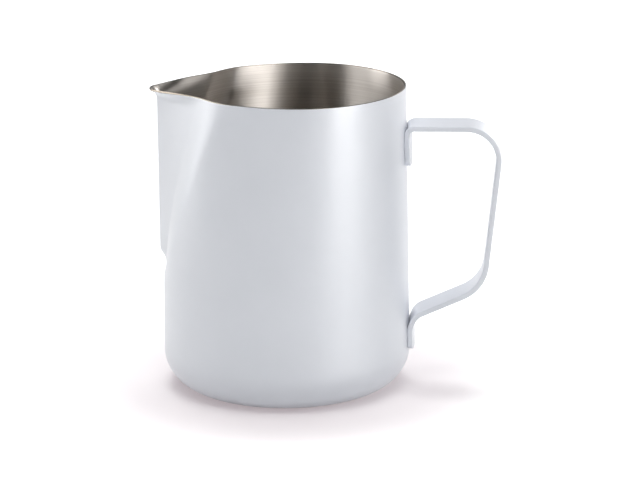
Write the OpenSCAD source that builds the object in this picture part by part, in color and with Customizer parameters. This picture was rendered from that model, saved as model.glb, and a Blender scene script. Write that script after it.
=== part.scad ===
// Milk frothing jug: a drawn steel jug with a pressed pouring spout and a bent strap handle
// that is spot-welded to the wall. The spout points along -X and the handle along +X.
// The origin is on the jug's axis, in the plane that it stands on.

/* [Jug body] */
// Height of the rim above the table
jug_h = 110; // [90:1:140]
// Outside radius of the wall at the rim
rim_r = 43.3; // [40:0.1:50]
// Outside radius that the tapered wall would reach at the table
foot_r = 44.8; // [43:0.1:52]
// Thickness of the drawn steel sheet
sheet = 0.8; // [0.6:0.05:1.2]
// Outside radius of the rounded corner between wall and base
corner_r = 14; // [8:0.5:18]
// Bevel on both edges of the rim
rim_bevel = 0.2; // [0.1:0.05:0.25]

/* [Base] */
// Width of the flat ring that the jug stands on
ring_w = 2.4; // [1.5:0.1:5]
// How far the middle of the base stands above the table
recess_h = 1.2; // [0.6:0.1:2.5]

/* [Spout] */
// Distance from the rim down to the notch where the spout ends
spout_len = 65; // [45:1:68]
// How far the spout's upright ridge stands out from the rim's circle
ridge_out = 2.45; // [1:0.05:4]
// Radius of the ridge's rounded nose, seen from above
nose_r = 4.5; // [3:0.1:5]
// Height over which the ridge rises out of the notch
ridge_rise = 5.5; // [4:0.5:9]
// Depth of the notch below the ridge
notch_in = 0.75; // [0.3:0.05:1.2]
// Height over which the wall comes back to round below the notch
notch_fade = 6; // [4:0.5:10]
// Depth of the pressed valley beside the ridge, at the rim
valley_in = 2.4; // [1:0.1:3]
// Angle from the ridge to each valley at the rim
valley_angle = 38; // [30:1:42]
// How far the mouth is squeezed in on both sides of the spout, at the rim
squeeze_in = 4.7; // [2:0.1:6]

/* [Pouring lip] */
// Length of wall that is curled outwards at the tip of the spout
lip_len = 4.6; // [3:0.1:6]
// Angle that the lip is curled outwards at the tip of the spout
lip_angle = 78; // [40:1:85]
// How much lower the trimmed edge is at the tip before it is curled
lip_drop = 0.5; // [0:0.1:1.5]

/* [Handle strap] */
// Width of the strap
strap_w = 15.2; // [12:0.2:20]
// Thickness of the strap
strap_t = 1.9; // [1.5:0.1:2.5]
// Radius along the strap's long edges
strap_edge_r = 0.7; // [0.3:0.05:0.7]
// Radius of the corners at the two ends of the strap
strap_end_r = 1.5; // [0.8:0.1:3]

/* [Handle bends] */
// Distance from the rim down to the top of the handle
handle_drop = 13.15; // [10:0.5:20]
// Length of the upper tab, from its end to the top of the handle
upper_tab_l = 14.15; // [12:0.5:20]
// Height of the lower tab's end above the table
lower_tab_z = 14.6; // [14:0.2:20]
// Height at which the slanted part of the strap meets the lower tab
lower_root_z = 26.2; // [25:0.2:30]
// Height of the outer lower corner of the handle
lower_corner_z = 37.6; // [34:0.2:44]
// Reach of the upper corner of the handle out from the wall
upper_reach = 34.8; // [28:0.2:42]
// Reach of the lower corner of the handle out from the wall
lower_reach = 28; // [22:0.2:34]
// Bend radius beside the upper tab, at the middle of the strap
upper_root_r = 3; // [2:0.1:4]
// Bend radius of the upper corner, at the middle of the strap
upper_corner_r = 11; // [6:0.5:14]
// Bend radius of the lower corner, at the middle of the strap
lower_corner_r = 14.2; // [8:0.2:17]
// Bend radius beside the lower tab, at the middle of the strap
lower_root_r = 6.4; // [4:0.2:9]

/* [Spot welds] */
// Diameter of a weld nugget
weld_d = 4; // [3:0.1:5]
// Depth of a nugget into the wall, and into the strap
weld_in = 0.35; // [0.2:0.05:0.4]
// Distance of a nugget from the middle of the strap
weld_side = 3.6; // [3:0.1:4.4]
// Distance of the nuggets from the end of their tab
weld_up = 5; // [4:0.1:6]

/* [Hidden] */
coat_color = [0.88, 0.89, 0.92];
steel_color = [0.72, 0.71, 0.69];
// Overrun of every cut past the face that it opens
over = 1;
// Room that the strap's chords need between the tabs and the round wall
seat_play = 0.02;
$fn = 96;

// Slope of the step between the ring and the raised middle of the base
step_slope = 45;

// How far inside the corner's arc the wall's line starts, so that the two cross cleanly
corner_tuck = 0.01;

// Lap between the round bowl and the faceted wall: each ends in a tongue inside the other's sheet.
// At the seam the wall swells on both faces, so that its flat facets clear the round ones.
lap_h = 1;
tongue_t = 0.2;
outer_swell = 0.065;
inner_swell = 0.02;

// Angles from the ridge, in plan: where the valley starts at the notch, how wide the valley's
// outer bank is at the notch and at the rim, where the squeeze starts to ease, and where the
// wall is round again
notch_angle = 7;
notch_bank = 14;
rim_bank = 26;
squeeze_angle = 62;
round_angle = 122;
lip_spread = 42;
drop_spread = 60;
squeeze_power = 1.5;

// Numbers of facets of the pressed part of the wall
nose_steps = 4;
flank_steps = 5;
bank_steps = 10;
side_steps = 11;
back_steps = 11;
fade_steps = 3;
rise_steps = 4;
wall_steps = 9;
lip_steps = 5;

// Numbers of facets of the strap
face_steps = 8;
edge_steps = 3;
end_steps = 3;
root_steps = 7;
corner_steps = 12;

// Heights and angles that follow from the sizes above
taper = atan((foot_r - rim_r) / jug_h);
corner_x = foot_r + (rim_r - foot_r) * corner_r / jug_h - corner_r / cos(taper);
recess_r = corner_x - ring_w - recess_h;
notch_z = jug_h - spout_len;
seam_z = notch_z - notch_fade;
strap_top_z = jug_h - handle_drop;
upper_tab_z = strap_top_z - upper_tab_l;
strap_mid = strap_t / 2;

function clamp_share(t) = min(max(t, 0), 1);
function ease(t) = let (u = clamp_share(t)) u * u * (3 - 2 * u);
function polar(r, a) = [r * cos(a), r * sin(a)];
function unit(v) = v / norm(v);
function wall_r(z) = foot_r + (rim_r - foot_r) * z / jug_h;

// Pressed wall, seen in plan with the ridge along +X; it is turned round when it is drawn.
// Share of the spout's height that a level lies above the notch
function spout_share(z) = clamp_share((z - notch_z) / spout_len);
// Share of the press that a level has taken, from the round wall up to the notch
function press_share(z) = ease((z - seam_z) / notch_fade);
function squeeze(z) = squeeze_in * pow(spout_share(z), squeeze_power);
function valley(z) = press_share(z) * (notch_in + (valley_in - notch_in) * spout_share(z));
function valley_a(z) = notch_angle + (valley_angle - notch_angle) * spout_share(z);
function bank_a(z) = notch_bank + (rim_bank - notch_bank) * spout_share(z);
function ridge_r(z) =
    let (rise = ease((z - notch_z) / ridge_rise))
    wall_r(z) + (rim_r + ridge_out - wall_r(z)) * rise - notch_in * press_share(z) * (1 - rise);

// Radius of the wall at an angle from the ridge that lies outside the valley line
function bank_r(z, a) =
    let (dip = 1 - ease((a - valley_a(z)) / bank_a(z)))
    let (pinch = 1 - ease((a - squeeze_angle) / (round_angle - squeeze_angle)))
    wall_r(z) - valley(z) * dip - squeeze(z) * pinch;

// Point of the flank between the ridge and the valley: the rounded nose of the ridge, and then
// the straight line that leaves the nose and ends in the valley
function flank_point(z, t) =
    let (centre = [ridge_r(z) - nose_r, 0])
    let (valley_p = polar(bank_r(z, valley_a(z)), valley_a(z)))
    let (reach = norm(valley_p - centre))
    let (nose_a = atan2(valley_p.y, valley_p.x - centre.x) - acos(nose_r / reach))
    let (nose_share = nose_steps / (nose_steps + flank_steps))
    let (nose_end = centre + polar(nose_r, nose_a))
    t < nose_share
        ? centre + polar(nose_r, nose_a * t / nose_share)
        : nose_end + (valley_p - nose_end) * (t - nose_share) / (1 - nose_share);

// Half outline in plan at a level: t runs from 0 on the ridge to 1 in the valley, on to 3 where
// the wall is round again, and to 4 straight behind the spout
function half_point(z, t) =
    t <= 1 ? (1 - press_share(z)) * polar(wall_r(z), valley_a(z) * t)
             + press_share(z) * flank_point(z, t)
    : let (a = t <= 2
        ? valley_a(z) + (squeeze_angle - valley_a(z)) * (t - 1)
        : t <= 3 ? squeeze_angle + (round_angle - squeeze_angle) * (t - 2)
        : round_angle + (180 - round_angle) * (t - 3))
      polar(bank_r(z, a), a);
function outline_point(z, t) =
    let (p = half_point(z, abs(t)))
    t < 0 ? [p.x, -p.y] : p;

// Outward direction in plan, which is radial where the wall is round
function outline_normal(z, t) =
    let (tiny = 0.01)
    let (along = outline_point(z, min(t + tiny, 3)) - outline_point(z, max(t - tiny, -3)))
    let (radial = unit(outline_point(z, t)))
    abs(t) >= 3 ? radial
        : unit((1 - press_share(z)) * radial + press_share(z) * unit([along.y, -along.x]));

// Angle from the ridge, by which the lip's curl and drop fade along the rim
function ridge_a(t) = let (p = half_point(jug_h, abs(t))) atan2(abs(p.y), p.x);
function lip_a(t) = lip_angle * (1 - ease(ridge_a(t) / lip_spread));
function lip_z(t) = jug_h - lip_len - lip_drop * (1 - ease(ridge_a(t) / drop_spread));

// Point of the sheet: up is the length along the wall above the start of the curl, or below
// it where negative, and inset is the depth into the sheet
function sheet_point(t, up, inset) =
    let (curl = lip_a(t) * max(up, 0) / lip_len)
    let (radius = curl > 0 ? max(up, 0) / (curl * PI / 180) : 0)
    let (out = radius * (1 - cos(curl)))
    let (z = lip_z(t) + (curl > 0 ? radius * sin(curl) : up))
    let (n = outline_normal(z, t))
    let (p = outline_point(z, t) + n * (out - inset * cos(curl)))
    [p.x, p.y, z + inset * sin(curl)];

// Columns and rows of the grid over the pressed wall. Beyond 3, t runs on to 4 straight behind
// the spout.
half_columns = concat(
    [for (i = [0 : nose_steps + flank_steps - 1]) i / (nose_steps + flank_steps)],
    [for (i = [0 : bank_steps - 1]) 1 + i / bank_steps],
    [for (i = [0 : side_steps - 1]) 2 + i / side_steps],
    [for (i = [0 : back_steps]) 3 + i / back_steps]);
columns = concat(
    half_columns,
    [for (i = [len(half_columns) - 2 : -1 : 1]) -half_columns[i]]);
row_heights = concat(
    [for (i = [0 : fade_steps - 1]) seam_z + notch_fade * i / fade_steps],
    [for (i = [0 : rise_steps - 1]) notch_z + ridge_rise * i / rise_steps],
    [for (i = [0 : wall_steps - 1]) notch_z + ridge_rise
        + (jug_h - lip_len - notch_z - ridge_rise) * i / wall_steps]);
lip_rows = [for (i = [0 : lip_steps]) (lip_len - rim_bevel) * i / lip_steps];

// Length that a row lies below the start of the curl, in a column. The rows are stretched so that
// they follow the dropped edge of the lip while the lowest row stays level.
function row_up(t, z) = (z - lip_z(3)) * (lip_z(t) - seam_z) / (lip_z(3) - seam_z);

function swell_share(z) = 1 - ease((z - seam_z) / notch_fade);
function column_outer(t) = concat(
    [sheet_point(t, row_up(t, seam_z) - lap_h, (sheet - tongue_t) / 2)],
    [for (z = row_heights) sheet_point(t, row_up(t, z), -outer_swell * swell_share(z))],
    [for (up = lip_rows) sheet_point(t, up, 0)],
    [sheet_point(t, lip_len, rim_bevel)]);
function column_inner(t) = concat(
    [sheet_point(t, lip_len, sheet - rim_bevel)],
    [for (i = [len(lip_rows) - 1 : -1 : 0]) sheet_point(t, lip_rows[i], sheet)],
    [for (i = [len(row_heights) - 1 : -1 : 0]) let (z = row_heights[i])
        sheet_point(t, row_up(t, z), sheet + inner_swell * swell_share(z))],
    [sheet_point(t, row_up(t, seam_z) - lap_h, (sheet + tongue_t) / 2)]);

// Closed skin over rings of points that all have the same number of points. The rings either
// run round in a loop, or the first and the last one are closed by flat caps.
module ring_skin(rings, loop) {
    n = len(rings[0]);
    count = len(rings);
    points = [for (ring = rings) each ring];
    sides = [for (i = [0 : loop ? count - 1 : count - 2]) for (j = [0 : n - 1])
        let (from = i * n, to = (i + 1) % count * n, k = (j + 1) % n)
        each [[from + j, from + k, to + k], [from + j, to + k, to + j]]];
    caps = [
        [for (j = [n - 1 : -1 : 0]) j],
        [for (j = [0 : n - 1]) (count - 1) * n + j]];
    polyhedron(points, loop ? sides : concat(sides, caps));
}

// Wall above the bowl, with the pressed spout: its ridge, valleys and curled lip
module pressed_wall() {
    mirror([1, 0, 0])
        ring_skin([for (t = columns) concat(column_outer(t), column_inner(t))], true);
}

// Filled outline of the bowl below the spout, with the wall moved in by inset. The seam cuts off
// the upper half of the corner's circle where a long spout brings the seam down to it.
module bowl_outline(inset) {
    corner = corner_r - inset * cos(taper);
    centre = [corner_x, corner_r];
    intersection() {
        translate(centre)
            circle(corner);
        translate([0, -over])
            square([foot_r, over + seam_z]);
    }
    polygon([
        [0, corner_r - corner],
        [centre.x, corner_r - corner],
        centre + polar(corner - corner_tuck, taper),
        [wall_r(seam_z) - inset, seam_z],
        [0, seam_z]]);
}

// Bowl: the round lower wall, the corner and the base with its raised middle
module bowl() {
    floor_z = sheet * cos(taper);
    step_shift = sheet * tan(step_slope / 2);
    rotate_extrude()
        difference() {
            union() {
                difference() {
                    bowl_outline(0);
                    bowl_outline(sheet);
                }
                polygon([
                    [wall_r(seam_z), seam_z],
                    [wall_r(seam_z + lap_h) - (sheet - tongue_t) / 2, seam_z + lap_h],
                    [wall_r(seam_z + lap_h) - (sheet + tongue_t) / 2, seam_z + lap_h],
                    [wall_r(seam_z) - sheet, seam_z]]);
                polygon([
                    [0, 0],
                    [recess_r + recess_h, 0],
                    [recess_r + recess_h + step_shift, floor_z],
                    [recess_r + step_shift, floor_z + recess_h],
                    [0, floor_z + recess_h]]);
            }
            translate([-foot_r, 0])
                square([foot_r, jug_h]);
            polygon([
                [-over, -over],
                [recess_r + recess_h + over, -over],
                [recess_r, recess_h],
                [-over, recess_h]]);
        }
}

// Handle strap. Its middle line lies in the XZ plane and runs up the upper tab, out, down the
// grip, back in and down the lower tab.
function tab_x(z) = wall_r(z) + (strap_mid + seat_play) / cos(taper);
path = [
    [tab_x(upper_tab_z), upper_tab_z],
    [tab_x(strap_top_z - strap_mid), strap_top_z - strap_mid],
    [rim_r + upper_reach, strap_top_z - strap_mid],
    [rim_r + lower_reach, lower_corner_z],
    [tab_x(lower_root_z), lower_root_z],
    [tab_x(lower_tab_z), lower_tab_z]];
bend_radii = [upper_root_r, upper_corner_r, lower_corner_r, lower_root_r];
// Curve across the strap: it hugs the round wall on the upper tab, is flat along the handle,
// and hugs the wall again on the lower tab, where its other face meets it
upper_hug = 1 / (tab_x(upper_tab_z) / cos(taper));
lower_hug = -1 / (tab_x(lower_tab_z) / cos(taper));

function leg_a(i) = atan2(path[i + 1].y - path[i].y, path[i + 1].x - path[i].x);
function turn_a(i) = let (d = leg_a(i) - leg_a(i - 1)) d > 180 ? d - 360 : d < -180 ? d + 360 : d;
function bend_start(i) =
    path[i] - polar(bend_radii[i - 1] * tan(abs(turn_a(i)) / 2), leg_a(i - 1));

// Stations of one bend: place, direction, curve across the strap and trim of each edge
function bend_stations(i, steps, hug_from, hug_to) = [for (s = [0 : steps])
    let (a = leg_a(i - 1) + turn_a(i) * s / steps)
    let (r = bend_radii[i - 1] * sign(turn_a(i)))
    let (p = bend_start(i) + r * [sin(a) - sin(leg_a(i - 1)), cos(leg_a(i - 1)) - cos(a)])
    [p, a, hug_from + (hug_to - hug_from) * ease(s / steps), 0]];
// Stations of the rounded end of a tab; way is 1 along the path and -1 against it
function end_stations(p, a, way, hug) = [for (s = [0 : end_steps])
    let (round_a = 90 * s / end_steps)
    [p + way * polar(strap_end_r * (1 - cos(round_a)), a), a, hug,
        strap_end_r * (1 - sin(round_a))]];
function reversed(list) = [for (i = [len(list) - 1 : -1 : 0]) list[i]];

stations = concat(
    end_stations(path[0], leg_a(0), 1, upper_hug),
    bend_stations(1, root_steps, upper_hug, 0),
    bend_stations(2, corner_steps, 0, 0),
    bend_stations(3, corner_steps, 0, 0),
    bend_stations(4, root_steps, 0, lower_hug),
    reversed(end_stations(path[5], leg_a(4), -1, lower_hug)));

// Outline of the strap's section: [across, out of the finger side]
function section_outline(half_w) =
    let (r = strap_edge_r)
    let (flat = half_w - r)
    concat(
        [for (i = [0 : face_steps]) [-flat + 2 * flat * i / face_steps, -strap_mid]],
        [for (i = [1 : edge_steps]) let (a = -90 + 90 * i / edge_steps)
            [flat + r * cos(a), r - strap_mid + r * sin(a)]],
        [for (i = [0 : edge_steps - 1]) let (a = 90 * i / edge_steps)
            [flat + r * cos(a), strap_mid - r + r * sin(a)]],
        [for (i = [0 : face_steps]) [flat - 2 * flat * i / face_steps, strap_mid]],
        [for (i = [1 : edge_steps]) let (a = 90 + 90 * i / edge_steps)
            [-flat + r * cos(a), strap_mid - r + r * sin(a)]],
        [for (i = [0 : edge_steps - 1]) let (a = 180 + 90 * i / edge_steps)
            [-flat + r * cos(a), r - strap_mid + r * sin(a)]]);

function station_ring(station) =
    let (p = station[0], a = station[1], hug = station[2])
    let (side = [sin(a), 0, -cos(a)])
    [for (q = section_outline(strap_w / 2 - station[3]))
        let (swing = hug * q.x * 180 / PI)
        let (across = hug == 0 ? q.x : sin(swing) / hug)
        let (sink = hug == 0 ? 0 : (cos(swing) - 1) / hug)
        [p.x, 0, p.y] + side * sink + [0, across, 0]
            + q.y * (side * cos(swing) + [0, sin(swing), 0])];

module strap() {
    ring_skin([for (station = stations) station_ring(station)], false);
}

// Spot welds: lens-like nuggets half in the wall and half in the tabs
weld_places = [for (z = [upper_tab_z + weld_up, lower_tab_z + weld_up]) for (side = [-1, 1])
    [z, side * asin(weld_side / wall_r(z))]];

module nuggets() {
    for (place = weld_places)
        rotate([0, 0, place[1]])
            translate([wall_r(place[0]) - weld_in, 0, place[0]])
                rotate([0, 90, 0])
                    cylinder(d = weld_d, h = 2 * weld_in);
}

// Drawn steel body, white outside; the inside and the rim are bare steel
module jug_body() {
    color(coat_color)
        difference() {
            union() {
                bowl();
                pressed_wall();
            }
            nuggets();
        }
}

// Bent strap handle, coated like the body
module handle() {
    color(coat_color)
        difference() {
            strap();
            nuggets();
        }
}

// Weld nuggets between the two tabs and the wall
module spot_welds() {
    color(steel_color)
        nuggets();
}

jug_body();
handle();
spot_welds();
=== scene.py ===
import math

import bmesh
import bpy
import numpy as np
from mathutils import Matrix, Vector


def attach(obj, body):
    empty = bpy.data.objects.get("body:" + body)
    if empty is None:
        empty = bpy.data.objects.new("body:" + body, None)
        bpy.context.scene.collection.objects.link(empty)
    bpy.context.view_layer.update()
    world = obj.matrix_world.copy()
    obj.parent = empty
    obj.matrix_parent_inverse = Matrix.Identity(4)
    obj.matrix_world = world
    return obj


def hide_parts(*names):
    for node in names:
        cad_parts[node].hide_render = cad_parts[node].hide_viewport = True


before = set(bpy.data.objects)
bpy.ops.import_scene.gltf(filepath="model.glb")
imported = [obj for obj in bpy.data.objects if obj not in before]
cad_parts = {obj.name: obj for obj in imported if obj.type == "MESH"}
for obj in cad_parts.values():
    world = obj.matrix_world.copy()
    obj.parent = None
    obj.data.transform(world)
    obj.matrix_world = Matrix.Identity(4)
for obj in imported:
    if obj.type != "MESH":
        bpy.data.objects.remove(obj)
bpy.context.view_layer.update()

MM = 0.001

# Sizes of the bowl in millimetres, the same as in the part's source
JUG_H = 110.0
RIM_R = 43.3
FOOT_R = 44.8
SHEET = 0.8
CORNER_R = 14.0
RING_W = 2.4
RECESS_H = 1.2
TAPER = math.atan((FOOT_R - RIM_R) / JUG_H)

# The pressed spout, in millimetres and in degrees counted from its ridge
SPOUT_LEN = 65.0
RIDGE_OUT = 2.45
NOSE_R = 4.5
RIDGE_RISE = 5.5
NOTCH_IN = 0.75
NOTCH_FADE = 6.0
NOTCH_ANGLE = 7.0
NOTCH_BANK = 14.0
VALLEY_IN = 2.4
VALLEY_ANGLE = 38.0
RIM_BANK = 26.0
SQUEEZE_IN = 4.7
SQUEEZE_POWER = 1.5
SQUEEZE_ANGLE = 62.0
ROUND_ANGLE = 122.0
NOTCH_Z = JUG_H - SPOUT_LEN
SEAM_Z = NOTCH_Z - NOTCH_FADE

# The curled lip: its length and angle, and how far round from the ridge it curls and drops
LIP_LEN = 4.6
LIP_ANGLE = 78.0
LIP_SPREAD = 42.0
LIP_DROP = 0.5
DROP_SPREAD = 60.0

# The coat is a skin of its own in the picture, so that its edge shows at the bare rim. It stops
# below the trimmed edge, and lower still beside the spout, between these two angles.
COAT_T = 0.12
COAT_OVERLAP = 0.02
COAT_TOP = 0.08
SPOUT_BARE = 0.15
SPOUT_BARE_ANGLES = (48.0, 75.0)
# A power below one flattens the top of the rounded trimmed edge
RIM_FLATNESS = 0.45
# Name of the mesh attribute that is one on the trimmed edge, the mask for the steel's painted dark
# reflection
CUT_EDGE = "cut_edge"

# The outline's parameter t is 0 at the ridge, and reaches these values on its way round
VALLEY_T = 1
SQUEEZE_T = 2
ROUND_T = 3
BACK_T = 4
# Share of the flank, from the ridge to the valley, that the round nose takes up
NOSE_SHARE = 4 / 9

# Mesh columns in one half of the outline, and mesh rows up the wall
NOSE_COLUMNS = 6
FLANK_COLUMNS = 14
SQUEEZE_COLUMNS = 26
ROUND_COLUMNS = 18
LOW_ROWS = 8
NOTCH_ROWS = 8
RIDGE_ROWS = 8
UPPER_ROWS = 26
LIP_ROWS = 12
RIM_STEPS = 8
CORNER_STEPS = 14
RECESS_RINGS = 5

# The strap in millimetres. It follows the part's source, apart from the radius of its edges, the
# upper tab and reach, and three bends, which were fitted to the photograph later. A little play
# keeps its tabs off the wall.
STRAP_W = 15.2
STRAP_T = 1.9
STRAP_EDGE_R = 0.35
STRAP_END_R = 1.5
STRAP_TOP_Z = 96.85
UPPER_TAB_Z = 82.3
LOWER_TAB_Z = 14.6
LOWER_ROOT_Z = 26.2
LOWER_CORNER_Z = 37.6
UPPER_REACH = 34.5
LOWER_REACH = 28.0
BEND_R = (2.5, 11.6, 14.2, 5.8)
SEAT_PLAY = 0.02
# The share of each of the first bends before the strap starts to change its curve across
HUG_DELAY = (0.2, 0.0, 0.0)
# The heights between which the strap flattens above its lower tab
LOWER_FLATTEN = (21.0, 24.6)

# Mesh steps along the strap, over its width and round its long edges
END_STEPS = 5
LEG_STEPS = 10
TAB_STEPS = 16
BEND_STEPS = 24
FLAT_STEPS = 16
EDGE_STEPS = 6

# Metres within which the points of a mesh are joined
WELD_DISTANCE = 1e-6
# Angle in radians under which the lip counts as straight
NO_CURL = 1e-9


def clamp(t):
    return min(max(t, 0.0), 1.0)


def ease(t):
    u = clamp(t)
    return u * u * (3 - 2 * u)


def polar(r, degrees):
    a = math.radians(degrees)
    return np.array([r * math.cos(a), r * math.sin(a)])


def unit(v):
    return v / np.linalg.norm(v)


# The pressed wall, seen in plan with the ridge along +X. sheet_point turns it round at the end.
def wall_r(z):
    return FOOT_R + (RIM_R - FOOT_R) * z / JUG_H


def spout_share(z):
    return clamp((z - NOTCH_Z) / SPOUT_LEN)


def press_share(z):
    return ease((z - SEAM_Z) / NOTCH_FADE)


def valley_a(z):
    return NOTCH_ANGLE + (VALLEY_ANGLE - NOTCH_ANGLE) * spout_share(z)


def ridge_r(z):
    rise = ease((z - NOTCH_Z) / RIDGE_RISE)
    return wall_r(z) + (RIM_R + RIDGE_OUT - wall_r(z)) * rise - NOTCH_IN * press_share(z) * (1 - rise)


def bank_r(z, a):
    share = spout_share(z)
    valley = press_share(z) * (NOTCH_IN + (VALLEY_IN - NOTCH_IN) * share)
    bank = NOTCH_BANK + (RIM_BANK - NOTCH_BANK) * share
    dip = 1 - ease((a - valley_a(z)) / bank)
    pinch = 1 - ease((a - SQUEEZE_ANGLE) / (ROUND_ANGLE - SQUEEZE_ANGLE))
    return wall_r(z) - valley * dip - SQUEEZE_IN * share ** SQUEEZE_POWER * pinch


def flank_point(z, t):
    """Point from the ridge over the round nose and straight to the valley."""
    centre = np.array([ridge_r(z) - NOSE_R, 0.0])
    valley_p = polar(bank_r(z, valley_a(z)), valley_a(z))
    reach = np.linalg.norm(valley_p - centre)
    towards = math.degrees(math.atan2(valley_p[1], valley_p[0] - centre[0]))
    nose_a = towards - math.degrees(math.acos(NOSE_R / reach))
    nose_end = centre + polar(NOSE_R, nose_a)
    if t < NOSE_SHARE:
        return centre + polar(NOSE_R, nose_a * t / NOSE_SHARE)
    return nose_end + (valley_p - nose_end) * (t - NOSE_SHARE) / (1 - NOSE_SHARE)


def half_point(z, t):
    if t <= VALLEY_T:
        share = press_share(z)
        return (1 - share) * polar(wall_r(z), valley_a(z) * t) + share * flank_point(z, t)
    if t <= SQUEEZE_T:
        a = valley_a(z) + (SQUEEZE_ANGLE - valley_a(z)) * (t - VALLEY_T)
    elif t <= ROUND_T:
        a = SQUEEZE_ANGLE + (ROUND_ANGLE - SQUEEZE_ANGLE) * (t - SQUEEZE_T)
    else:
        a = ROUND_ANGLE + (180 - ROUND_ANGLE) * (t - ROUND_T)
    return polar(bank_r(z, a), a)


def outline_point(z, t):
    p = half_point(z, abs(t))
    return np.array([p[0], -p[1]]) if t < 0 else p


def outline_normal(z, t):
    tiny = 0.01
    radial = unit(outline_point(z, t))
    if abs(t) >= ROUND_T:
        return radial
    along = outline_point(z, min(t + tiny, ROUND_T)) - outline_point(z, max(t - tiny, -ROUND_T))
    share = press_share(z)
    return unit((1 - share) * radial + share * unit(np.array([along[1], -along[0]])))


def rim_angle(t):
    """Angle of this column at the rim, counted from the ridge."""
    p = half_point(JUG_H, abs(t))
    return math.degrees(math.atan2(abs(p[1]), p[0]))


def lip_z(t):
    return JUG_H - LIP_LEN - LIP_DROP * (1 - ease(rim_angle(t) / DROP_SPREAD))


def sheet_point(t, up, inset):
    """Point of the sheet: up is the length along the wall above the start of the curl."""
    curl = math.radians(LIP_ANGLE * (1 - ease(rim_angle(t) / LIP_SPREAD))) * max(up, 0) / LIP_LEN
    radius = max(up, 0) / curl if curl > NO_CURL else 0.0
    out = radius * (1 - math.cos(curl))
    z = lip_z(t) + (radius * math.sin(curl) if curl > NO_CURL else up)
    p = outline_point(z, t) + outline_normal(z, t) * (out - inset * math.cos(curl))
    return (-p[0], p[1], z + inset * math.sin(curl))


# Mesh helpers
def shade_smooth(mesh):
    for p in mesh.polygons:
        p.use_smooth = True


def smooth_mesh(name, verts, faces, body="root"):
    mesh = bpy.data.meshes.new(name)
    mesh.from_pydata([tuple(MM * c for c in v) for v in verts], [], faces)
    mesh.validate()
    mesh.update()
    shade_smooth(mesh)
    obj = bpy.data.objects.new(name, mesh)
    bpy.context.scene.collection.objects.link(obj)
    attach(obj, body)
    return obj


def loop_grid(columns):
    """Closed skin over columns that stand round in a loop, where each column is a closed ring."""
    n = len(columns[0])
    count = len(columns)
    verts = [v for column in columns for v in column]
    faces = []
    for i in range(count):
        k = (i + 1) % count
        for j in range(n):
            m = (j + 1) % n
            faces.append((i * n + j, k * n + j, k * n + m, i * n + m))
    return verts, faces


def weld(obj):
    """Joins the points that lie on each other, such as those on the axis."""
    bm = bmesh.new()
    bm.from_mesh(obj.data)
    bmesh.ops.remove_doubles(bm, verts=bm.verts, dist=WELD_DISTANCE)
    bmesh.ops.recalc_face_normals(bm, faces=bm.faces)
    bm.to_mesh(obj.data)
    bm.free()
    shade_smooth(obj.data)


def spaced(low, high, steps, end=False):
    return [low + (high - low) * i / steps for i in range(steps + (1 if end else 0))]


# Columns round the jug and rows up the wall
half = spaced(0, NOSE_SHARE, NOSE_COLUMNS) + spaced(NOSE_SHARE, VALLEY_T, FLANK_COLUMNS)
half += spaced(VALLEY_T, SQUEEZE_T, SQUEEZE_COLUMNS) + spaced(SQUEEZE_T, ROUND_T, ROUND_COLUMNS)
half += spaced(ROUND_T, BACK_T, ROUND_COLUMNS, True)
columns_t = half + [-t for t in reversed(half[1:-1])]
rows_z = spaced(CORNER_R + CORNER_R * math.sin(TAPER), SEAM_Z, LOW_ROWS)
rows_z += spaced(SEAM_Z, NOTCH_Z, NOTCH_ROWS) + spaced(NOTCH_Z, NOTCH_Z + RIDGE_RISE, RIDGE_ROWS)
rows_z += spaced(NOTCH_Z + RIDGE_RISE, JUG_H - LIP_LEN, UPPER_ROWS)


def wall_column(t, inset, top):
    """Points up the wall at this depth in the sheet, up to a length below the trimmed edge."""
    start = JUG_H - LIP_LEN
    stretch = (lip_z(t) - SEAM_Z) / (start - SEAM_Z)
    rows = [(z - start) * stretch if z > SEAM_Z else z - lip_z(t) for z in rows_z]
    rows += spaced(0, LIP_LEN - top, LIP_ROWS, True)
    return [sheet_point(t, up, inset) for up in rows]


def column_angle(t, z):
    p = outline_point(z, t)
    return math.atan2(p[1], -p[0])


def foot_column(t, inset):
    """Points from the axis over the raised base and the rounded corner to the straight wall."""
    corner_x = wall_r(CORNER_R) - CORNER_R / math.cos(TAPER)
    r = CORNER_R - inset * math.cos(TAPER)
    z0 = CORNER_R - r
    top = z0 + RECESS_H
    # the step from the ring to the raised middle rises at 45 degrees between two small bends
    mitre = z0 * math.tan(math.radians(22.5))
    bend = 0.45
    rounding = 0.12
    ring = corner_x - RING_W
    step = ring - RECESS_H
    profile = [(0.0, top)]
    profile += [(x, top) for x in spaced(step / (RECESS_RINGS + 1), step - 1, RECESS_RINGS, True)]
    profile += [(step + mitre - bend, top), (step + mitre, top - rounding)]
    profile += [(ring + mitre, z0 + rounding), (ring + mitre + bend, z0)]
    profile.append((corner_x, z0))
    for i in range(1, CORNER_STEPS):
        a = -math.pi / 2 + (math.pi / 2 + TAPER) * i / CORNER_STEPS
        profile.append((corner_x + r * math.cos(a), CORNER_R + r * math.sin(a)))
    angle = column_angle(t, rows_z[0])
    return [(x * math.cos(angle), x * math.sin(angle), z) for x, z in profile]


def rim_arc(t, outer, inner, up):
    """Trimmed edge between two depths in the sheet, flat on top with rounded corners."""
    middle = (outer + inner) / 2
    r = (inner - outer) / 2
    points = []
    for i in range(1, RIM_STEPS):
        a = math.pi * i / RIM_STEPS
        across = math.copysign(abs(math.cos(a)) ** RIM_FLATNESS, math.cos(a))
        points.append(sheet_point(t, up + r * math.sin(a) ** RIM_FLATNESS, middle - r * across))
    return points


def coat_gap(t):
    """Bare height between the trimmed edge and the coat, larger beside the spout."""
    low, high = SPOUT_BARE_ANGLES
    return COAT_TOP + SPOUT_BARE * (1 - ease((rim_angle(t) - low) / (high - low)))


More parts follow.
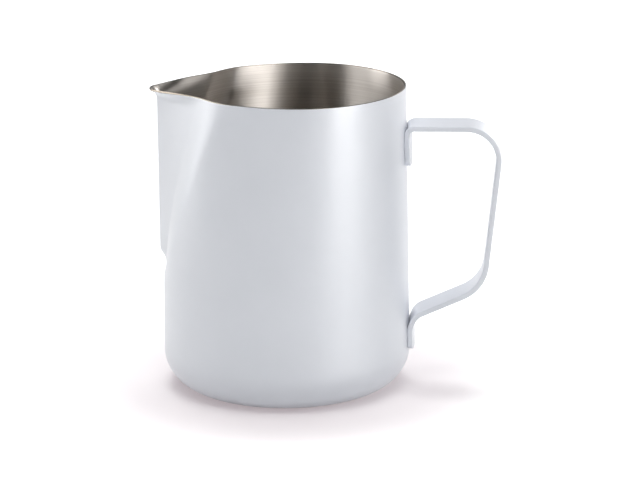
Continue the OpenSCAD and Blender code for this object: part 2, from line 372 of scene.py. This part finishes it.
def shell(name, outer, inner, gap=None):
    """Closed thin shell between two depths in the sheet, with its trimmed edge rounded and
    marked for the material's painted dark reflection. gap gives how far below the rim it stops."""
    edge = (inner - outer) / 2
    columns = []
    marks = []
    for t in columns_t:
        top_gap = gap(t) if gap else 0.0
        outside = foot_column(t, outer) + wall_column(t, outer, top_gap + edge)
        inside = wall_column(t, inner, top_gap + edge)[::-1] + foot_column(t, inner)[::-1]
        rim = rim_arc(t, outer, inner, LIP_LEN - top_gap - edge)
        columns.append(outside + rim + inside)
        marks += [0.0] * len(outside) + [1.0] * len(rim) + [0.0] * len(inside)
    verts, faces = loop_grid(columns)
    obj = smooth_mesh(name, verts, faces)
    obj.data.attributes.new(CUT_EDGE, "FLOAT", "POINT").data.foreach_set("value", marks)
    weld(obj)
    return obj


steel = shell("jug_steel", COAT_T, SHEET)
coat = shell("jug_coat", 0.0, COAT_T + COAT_OVERLAP, coat_gap)
for piece, slot in ((steel, "bare_steel"), (coat, "white_coat")):
    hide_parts("jug_body")


# The strap: its middle line lies in the XZ plane
def tab_x(z):
    return wall_r(z) + (STRAP_T / 2 + SEAT_PLAY) / math.cos(TAPER)


MID_Z = STRAP_TOP_Z - STRAP_T / 2
UPPER_TAB = (tab_x(UPPER_TAB_Z), UPPER_TAB_Z)
UPPER_ROOT = (tab_x(MID_Z), MID_Z)
UPPER_CORNER = (RIM_R + UPPER_REACH, MID_Z)
LOWER_CORNER = (RIM_R + LOWER_REACH, LOWER_CORNER_Z)
LOWER_ROOT = (tab_x(LOWER_ROOT_Z), LOWER_ROOT_Z)
LOWER_TAB = (tab_x(LOWER_TAB_Z), LOWER_TAB_Z)
path = [UPPER_TAB, UPPER_ROOT, UPPER_CORNER, LOWER_CORNER, LOWER_ROOT, LOWER_TAB]
LAST_BEND = 4
# Curve across the strap where it hugs the wall. Its other face meets the wall on the lower tab.
UPPER_HUG = math.cos(TAPER) / UPPER_TAB[0]
LOWER_HUG = -math.cos(TAPER) / LOWER_TAB[0]


def leg_a(i):
    return math.atan2(path[i + 1][1] - path[i][1], path[i + 1][0] - path[i][0])


def lower_hug(z):
    low, high = LOWER_FLATTEN
    return LOWER_HUG * (1 - ease((z - low) / (high - low)))


def tab_end(p, a, way, hug):
    """Stations of a rounded end. way is 1 where the strap starts and -1 where it ends."""
    out = []
    for s in range(END_STEPS + 1):
        turned = math.pi / 2 * s / END_STEPS
        along = way * STRAP_END_R * (1 - math.cos(turned))
        point = (p[0] + along * math.cos(a), p[1] + along * math.sin(a))
        out.append((point, a, hug, STRAP_END_R * (1 - math.sin(turned))))
    return out


def straight(p, q, a, hug, steps):
    return [((p[0] + (q[0] - p[0]) * s / steps, p[1] + (q[1] - p[1]) * s / steps), a, hug, 0.0)
            for s in range(1, steps)]


def stations():
    """Place, direction, curve across the strap and trim of each edge, along the middle line."""
    hugs = [UPPER_HUG, 0.0, 0.0, 0.0]
    out = tab_end(UPPER_TAB, leg_a(0), 1, UPPER_HUG)
    last = out[-1][0]
    for i in range(1, LAST_BEND + 1):
        before = leg_a(i - 1)
        turn = (leg_a(i) - before + math.pi) % (2 * math.pi) - math.pi
        r = BEND_R[i - 1] * (1 if turn > 0 else -1)
        back = BEND_R[i - 1] * math.tan(abs(turn) / 2)
        start = (path[i][0] - back * math.cos(before), path[i][1] - back * math.sin(before))
        out += straight(last, start, before, hugs[i - 1], LEG_STEPS)
        for s in range(BEND_STEPS + 1):
            a = before + turn * s / BEND_STEPS
            p = (start[0] + r * (math.sin(a) - math.sin(before)),
                 start[1] + r * (math.cos(before) - math.cos(a)))
            if i == LAST_BEND:
                hug = lower_hug(p[1])
            else:
                late = HUG_DELAY[i - 1]
                share = ease((s / BEND_STEPS - late) / (1 - late))
                hug = hugs[i - 1] + (hugs[i] - hugs[i - 1]) * share
            out.append((p, a, hug, 0.0))
        last = out[-1][0]
    end = list(reversed(tab_end(LOWER_TAB, leg_a(LAST_BEND), -1, LOWER_HUG)))
    for p, a, _, trim in straight(last, end[0][0], leg_a(LAST_BEND), LOWER_HUG, TAB_STEPS):
        out.append((p, a, lower_hug(p[1]), trim))
    return out + end


def edge_arc(x, y, start):
    """Rounded long edge of the strap: a quarter turn from this angle."""
    angles = [math.radians(start + 90 * i / EDGE_STEPS) for i in range(1, EDGE_STEPS + 1)]
    return [(x + STRAP_EDGE_R * math.cos(a), y + STRAP_EDGE_R * math.sin(a)) for a in angles]


def strap_section(half_w):
    flat = half_w - STRAP_EDGE_R
    mid = STRAP_T / 2
    centre = mid - STRAP_EDGE_R
    out = [(-flat + 2 * flat * i / FLAT_STEPS, -mid) for i in range(FLAT_STEPS + 1)]
    out += edge_arc(flat, -centre, -90) + edge_arc(flat, centre, 0)
    out += [(flat - 2 * flat * i / FLAT_STEPS, mid) for i in range(1, FLAT_STEPS + 1)]
    out += edge_arc(-flat, centre, 90) + edge_arc(-flat, -centre, 180)
    return out[:-1]


def strap_ring(p, a, hug, trim):
    side = np.array([math.sin(a), 0.0, -math.cos(a)])
    ring = []
    for u, v in strap_section(STRAP_W / 2 - trim):
        swing = hug * u
        across = math.sin(swing) / hug if hug else u
        sink = (math.cos(swing) - 1) / hug if hug else 0.0
        q = (np.array([p[0], 0.0, p[1]]) + side * sink + np.array([0.0, across, 0.0])
             + v * (side * math.cos(swing) + np.array([0.0, math.sin(swing), 0.0])))
        ring.append(tuple(q))
    return ring


def build_strap():
    rings = [strap_ring(*s) for s in stations()]
    n = len(rings[0])
    verts = [v for ring in rings for v in ring]
    faces = []
    for i in range(len(rings) - 1):
        for j in range(n):
            k = (j + 1) % n
            faces.append((i * n + j, i * n + k, (i + 1) * n + k, (i + 1) * n + j))
    faces.append(tuple(reversed(range(n))))
    faces.append(tuple((len(rings) - 1) * n + j for j in range(n)))
    obj = smooth_mesh("handle_strap", verts, faces)
    # the two flat ends are sharp, so that the faces beside them keep their shading
    for p in obj.data.polygons:
        if len(p.vertices) > 4:
            p.use_smooth = False
    return obj


strap = build_strap()
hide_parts("handle")


# Materials: the coat's and the steel's two shades, how rough they are, and the steel's brushing
COAT_DARK = (0.690, 0.713, 0.766)
COAT_LIGHT = (0.715, 0.737, 0.790)
COAT_ROUGH = 0.50
COAT_ROUGH_SPREAD = 0.03
COAT_SPECULAR = 0.8
GLAZE_WEIGHT = 0.8
GLAZE_ROUGH = 0.36
STEEL_DARK = (0.57, 0.53, 0.49)
STEEL_LIGHT = (0.69, 0.65, 0.61)
STEEL_ROUGH = 0.38
STEEL_ROUGH_SPREAD = 0.05
STEEL_ANISO = 0.95
ANISO_TURN = 0.25
# The cut edge of the sheet is painted darker than its rolled faces by these shares, a painted dark
# reflection along the rim
PAINTED_EDGE_REFLECTION = (0.40, 0.37, 0.33)

# Noise scales, per metre: how often each pattern of the coat repeats
MOTTLE_SCALE = 45.0
DULL_SCALE = 160.0
PEEL_SCALE = 1400.0
GRAIN_SCALE = 5200.0
# The steel's streaks and hair lines run round the axis, so they are fine only in height
STREAK_STRETCH = (14.0, 14.0, 2200.0)
HAIR_STRETCH = (40.0, 40.0, 6500.0)

# Depth in metres and strength of each bump
PEEL_BUMP = (0.00002, 0.35)
GRAIN_BUMP = (0.000006, 0.3)
STREAK_BUMP = (0.00003, 0.25)
HAIR_BUMP = (0.00001, 0.25)

# A Mix node has a set of sockets for each kind of data, and these are the ones for colour
MIX_SHARE = 0
MIX_A = 6
MIX_B = 7
MIX_RESULT = 2


def new_material(name):
    m = bpy.data.materials.new(name)
    m.use_nodes = True
    nodes = m.node_tree.nodes
    return m, nodes, m.node_tree.links, nodes["Principled BSDF"]


def add(nodes, kind, **values):
    node = nodes.new(kind)
    for key, value in values.items():
        setattr(node, key, value)
    return node


def noise(nodes, links, vector, scale, detail=2.0, rough=0.5):
    n = add(nodes, "ShaderNodeTexNoise")
    n.inputs["Scale"].default_value = scale
    n.inputs["Detail"].default_value = detail
    n.inputs["Roughness"].default_value = rough
    links.new(vector, n.inputs["Vector"])
    return n.outputs["Fac"]


def stretched(nodes, links, vector, scale):
    mapping = add(nodes, "ShaderNodeMapping")
    mapping.inputs["Scale"].default_value = scale
    links.new(vector, mapping.inputs["Vector"])
    return mapping.outputs["Vector"]


def ranged(nodes, links, value, low, high, from_low=0.3, from_high=0.7):
    n = add(nodes, "ShaderNodeMapRange")
    n.inputs["From Min"].default_value = from_low
    n.inputs["From Max"].default_value = from_high
    n.inputs["To Min"].default_value = low
    n.inputs["To Max"].default_value = high
    links.new(value, n.inputs["Value"])
    return n.outputs["Result"]


def two_colors(nodes, links, value, first, second):
    n = add(nodes, "ShaderNodeMix", data_type="RGBA")
    n.inputs[MIX_A].default_value = (*first, 1)
    n.inputs[MIX_B].default_value = (*second, 1)
    links.new(value, n.inputs[MIX_SHARE])
    return n.outputs[MIX_RESULT]


def bump(nodes, links, height, size, before=None):
    n = add(nodes, "ShaderNodeBump")
    n.inputs["Distance"].default_value = size[0]
    n.inputs["Strength"].default_value = size[1]
    links.new(height, n.inputs["Height"])
    if before is not None:
        links.new(before, n.inputs["Normal"])
    return n.outputs["Normal"]


def coat_material():
    """Satin powder coat: a fine orange peel, a faint mottle and slightly duller patches."""
    m, nodes, links, bsdf = new_material("white_powder_coat")
    at = add(nodes, "ShaderNodeTexCoord").outputs["Object"]
    mottle = ranged(nodes, links, noise(nodes, links, at, MOTTLE_SCALE, detail=3.0), 0, 1)
    links.new(two_colors(nodes, links, mottle, COAT_DARK, COAT_LIGHT), bsdf.inputs["Base Color"])
    dull = noise(nodes, links, at, DULL_SCALE, detail=4.0, rough=0.6)
    rough = ranged(nodes, links, dull, COAT_ROUGH - COAT_ROUGH_SPREAD, COAT_ROUGH + COAT_ROUGH_SPREAD)
    links.new(rough, bsdf.inputs["Roughness"])
    peel = noise(nodes, links, at, PEEL_SCALE)
    grain = noise(nodes, links, at, GRAIN_SCALE, detail=1.0)
    broad = bump(nodes, links, peel, PEEL_BUMP)
    links.new(bump(nodes, links, grain, GRAIN_BUMP, broad), bsdf.inputs["Normal"])
    bsdf.inputs["Specular IOR Level"].default_value = COAT_SPECULAR
    bsdf.inputs["Coat Weight"].default_value = GLAZE_WEIGHT
    bsdf.inputs["Coat Roughness"].default_value = GLAZE_ROUGH
    return m


def steel_material():
    """Bare stainless steel, brushed round the axis, with a painted dark reflection on its cut edge."""
    m, nodes, links, bsdf = new_material("brushed_stainless")
    at = add(nodes, "ShaderNodeTexCoord").outputs["Object"]
    streak_at = stretched(nodes, links, at, STREAK_STRETCH)
    streak = noise(nodes, links, streak_at, 1.0, detail=4.0, rough=0.6)
    hair_at = stretched(nodes, links, at, HAIR_STRETCH)
    hair = noise(nodes, links, hair_at, 1.0, detail=3.0, rough=0.6)
    shade = ranged(nodes, links, streak, 0, 1)
    brushed_color = two_colors(nodes, links, shade, STEEL_DARK, STEEL_LIGHT)
    # The trimmed edge's colour is multiplied darker: a painted dark reflection along the rim
    cut = add(nodes, "ShaderNodeAttribute", attribute_name=CUT_EDGE).outputs["Fac"]
    painted_edge_reflection_mix = add(nodes, "ShaderNodeMix", data_type="RGBA", blend_type="MULTIPLY")
    links.new(cut, painted_edge_reflection_mix.inputs[MIX_SHARE])
    links.new(brushed_color, painted_edge_reflection_mix.inputs[MIX_A])
    painted_edge_reflection_mix.inputs[MIX_B].default_value = (*PAINTED_EDGE_REFLECTION, 1)
    links.new(painted_edge_reflection_mix.outputs[MIX_RESULT], bsdf.inputs["Base Color"])
    rough = ranged(nodes, links, hair, STEEL_ROUGH - STEEL_ROUGH_SPREAD, STEEL_ROUGH + STEEL_ROUGH_SPREAD)
    links.new(rough, bsdf.inputs["Roughness"])
    broad = bump(nodes, links, streak, STREAK_BUMP)
    links.new(bump(nodes, links, hair, HAIR_BUMP, broad), bsdf.inputs["Normal"])
    bsdf.inputs["Metallic"].default_value = 1.0
    bsdf.inputs["Anisotropic"].default_value = STEEL_ANISO
    bsdf.inputs["Anisotropic Rotation"].default_value = ANISO_TURN
    tangent = add(nodes, "ShaderNodeTangent", direction_type="RADIAL", axis="Z")
    links.new(tangent.outputs["Tangent"], bsdf.inputs["Tangent"])
    return m


white_coat = coat_material()
brushed = steel_material()
for obj, material in ((coat, white_coat), (strap, white_coat), (steel, brushed)):
    obj.data.materials.append(material)
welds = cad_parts["spot_welds"]
welds.data.materials.clear()
welds.data.materials.append(brushed)


# Camera, fitted to the outlines of the jug in the photograph: its focal length in pixels, its
# distance from the aim in metres, its angle above it, and the small turns that were left over
PHOTO_W = 640
SENSOR_MM = 36.0
F_PX = 2772.25
CAM_D = 1.0
CAM_E = math.radians(14.711)
AIM_Z = 0.055
YAW = math.radians(0.70)
PITCH = math.radians(-0.12)
ROLL = math.radians(-0.592)
TURN = math.radians(4.5)


def camera_rows():
    place = Vector((0, -CAM_D * math.cos(CAM_E), AIM_Z + CAM_D * math.sin(CAM_E)))
    ahead = Vector((0, math.cos(CAM_E), -math.sin(CAM_E)))
    right = Vector((1, 0, 0))
    up = Vector((0, math.sin(CAM_E), math.cos(CAM_E)))
    ahead, right = (ahead * math.cos(YAW) + right * math.sin(YAW),
                    right * math.cos(YAW) - ahead * math.sin(YAW))
    ahead, up = (ahead * math.cos(PITCH) + up * math.sin(PITCH),
                 up * math.cos(PITCH) - ahead * math.sin(PITCH))
    right, up = (right * math.cos(ROLL) + up * math.sin(ROLL),
                 up * math.cos(ROLL) - right * math.sin(ROLL))
    turn = Matrix.Rotation(TURN, 3, "Z")
    return turn @ place, turn @ right, turn @ up, turn @ ahead


place, right, up, ahead = camera_rows()
camera = bpy.data.cameras.new("camera")
camera.sensor_width = SENSOR_MM
camera.lens = F_PX / PHOTO_W * SENSOR_MM
camera.clip_start = 0.01
camera.clip_end = 50
camera_object = bpy.data.objects.new("camera", camera)
matrix = Matrix.Identity(4)
for row in range(3):
    matrix[row][0] = right[row]
    matrix[row][1] = up[row]
    matrix[row][2] = -ahead[row]
    matrix[row][3] = place[row]
camera_object.matrix_world = matrix
bpy.context.scene.collection.objects.link(camera_object)
bpy.context.scene.camera = camera_object


# Floor with a low rounded backdrop. Light that it bounces comes from FLOOR_ALBEDO. The camera and
# reflections see a lit share that keeps the jug's shadow, and a glow that makes the open floor white.
# The glow is lower and faintly warm near the axis, a painted warm shade round the foot, and grows between
# two distances from the axis, painted light that also washes out the handle's faint shadow.
FLOOR_ALBEDO = 0.82
FLOOR_LIT = 0.59
PAINTED_SHADE_GLOW = (0.35, 0.305, 0.32)
GLOW_FAR = (0.66, 0.66, 0.66)
PAINTED_SHADE_RADII = (0.053, 0.10)
FLOOR_RADII = (0.0, 0.12, 0.25, 0.5, 1.0, 1.9)
COVE_R = 0.3
COVE_STEPS = 8
BACKDROP_TOP = 0.42
STAGE_SIDES = 96


def build_stage():
    floor_r = FLOOR_RADII[-1]
    profile = [(r, 0.0) for r in FLOOR_RADII]
    for i in range(1, COVE_STEPS + 1):
        a = math.pi / 2 * i / COVE_STEPS
        profile.append((floor_r + COVE_R * math.sin(a), COVE_R * (1 - math.cos(a))))
    profile.append((floor_r + COVE_R, BACKDROP_TOP))
    angles = [2 * math.pi * i / STAGE_SIDES for i in range(STAGE_SIDES)]
    verts = [(r * math.cos(a), r * math.sin(a), z) for a in angles for r, z in profile]
    n = len(profile)
    faces = []
    for i in range(STAGE_SIDES):
        k = (i + 1) % STAGE_SIDES
        for j in range(n - 1):
            faces.append((i * n + j, i * n + j + 1, k * n + j + 1, k * n + j))
    mesh = bpy.data.meshes.new("studio_floor")
    mesh.from_pydata(verts, [], faces)
    mesh.update()
    obj = bpy.data.objects.new("studio_floor", mesh)
    bpy.context.scene.collection.objects.link(obj)
    weld(obj)
    return obj


def seen_ray(nodes, links):
    """One for camera, glossy and transmission rays, and zero for the light that the floor bounces."""
    rays = add(nodes, "ShaderNodeLightPath")
    seen = rays.outputs["Is Camera Ray"]
    for name in ("Is Glossy Ray", "Is Transmission Ray"):
        either = add(nodes, "ShaderNodeMath", operation="MAXIMUM")
        links.new(seen, either.inputs[0])
        links.new(rays.outputs[name], either.inputs[1])
        seen = either.outputs[0]
    return seen


def grey_diffuse(nodes, level):
    n = add(nodes, "ShaderNodeBsdfDiffuse")
    n.inputs["Color"].default_value = (level, level, level, 1)
    return n.outputs[0]


def stage_material():
    m, nodes, links, bsdf = new_material("studio_white")
    nodes.remove(bsdf)
    plain = grey_diffuse(nodes, FLOOR_ALBEDO)
    lit = grey_diffuse(nodes, FLOOR_LIT)
    # The glow is painted darker and warm near the axis, a painted shade round the jug's foot, and painted
    # brighter outwards, which hides the handle's faint shadow
    radius = add(nodes, "ShaderNodeVectorMath", operation="LENGTH")
    links.new(add(nodes, "ShaderNodeTexCoord").outputs["Object"], radius.inputs[0])
    painted_shade_fade = add(nodes, "ShaderNodeMapRange", interpolation_type="SMOOTHSTEP")
    painted_shade_fade.inputs["From Min"].default_value = PAINTED_SHADE_RADII[0]
    painted_shade_fade.inputs["From Max"].default_value = PAINTED_SHADE_RADII[1]
    links.new(radius.outputs["Value"], painted_shade_fade.inputs["Value"])
    glow = add(nodes, "ShaderNodeEmission")
    glow_and_painted_shade = two_colors(nodes, links, painted_shade_fade.outputs["Result"], PAINTED_SHADE_GLOW, GLOW_FAR)
    links.new(glow_and_painted_shade, glow.inputs["Color"])
    both = add(nodes, "ShaderNodeAddShader")
    links.new(lit, both.inputs[0])
    links.new(glow.outputs[0], both.inputs[1])
    mix = add(nodes, "ShaderNodeMixShader")
    links.new(seen_ray(nodes, links), mix.inputs[0])
    links.new(plain, mix.inputs[1])
    links.new(both.outputs[0], mix.inputs[2])
    links.new(mix.outputs[0], nodes["Material Output"].inputs["Surface"])
    return m


stage = build_stage()
stage.data.materials.append(stage_material())

# Lights, each with its azimuth counted from the camera's side and positive towards the handle,
# its elevation in degrees, its distance, width and height in metres, and its radiance
GLOSS_LIGHTS = (
    ("key_right", 35, 36, 1.3, 0.32, 0.7, 15.6),
    ("key_left", -102, 36, 1.3, 1.4, 0.7, 5.0),
    ("low_right", 54, 4, 0.8, 0.42, 0.2, 21.0),
    ("low_left", -108, 6, 0.9, 0.38, 0.24, 5.6),
    ("spout_glint", 84, 30, 1.3, 0.30, 0.7, 1.8),
    ("lip_glint", 138, 20, 1.0, 0.5, 0.4, 5.0),
)
SIDE_LIGHT = ("side_right", 125, 20, 1.2, 0.5, 0.8, 1.2)
FILL_LIGHTS = (
    ("fill_top", 180, 86, 3.5, 3.0, 3.8, 2.05),
    ("fill_back", 180, 74, 3.5, 1.6, 1.6, 6.6),
    ("fill_high", -5, 60, 2.5, 1.5, 1.0, 3.8),
    ("fill_left", -75, 18, 1.5, 0.9, 0.7, 0.25),
    ("fill_right", 75, 18, 1.5, 0.9, 0.7, 1.35),
)
AIM = Vector((0, 0, AIM_Z))
WORLD_COLOR = (0.02, 0.02, 0.021)


def softbox(name, azimuth, elevation, distance, width, height, radiance, glossy=True, diffuse=True):
    light = bpy.data.lights.new(name, "AREA")
    light.shape = "RECTANGLE"
    light.size = width
    light.size_y = height
    light.energy = radiance * width * height * math.pi
    obj = bpy.data.objects.new(name, light)
    flat = Vector((place.x, place.y, 0)).normalized()
    side = Matrix.Rotation(math.radians(azimuth), 3, "Z") @ flat
    e = math.radians(elevation)
    obj.location = AIM + (side * math.cos(e) + Vector((0, 0, math.sin(e)))) * distance
    obj.rotation_euler = (obj.location - AIM).to_track_quat("Z", "Y").to_euler()
    obj.visible_camera = False
    obj.visible_glossy = glossy
    obj.visible_diffuse = diffuse
    bpy.context.scene.collection.objects.link(obj)


for light_values in GLOSS_LIGHTS:
    softbox(*light_values, diffuse=False)
softbox(*SIDE_LIGHT)
for light_values in FILL_LIGHTS:
    softbox(*light_values, glossy=False)

world = bpy.data.worlds.new("studio")
world.use_nodes = True
world.node_tree.nodes["Background"].inputs["Color"].default_value = (*WORLD_COLOR, 1)
world.node_tree.nodes["Background"].inputs["Strength"].default_value = 1.0
bpy.context.scene.world = world
bpy.context.scene.view_settings.view_transform = "Standard"
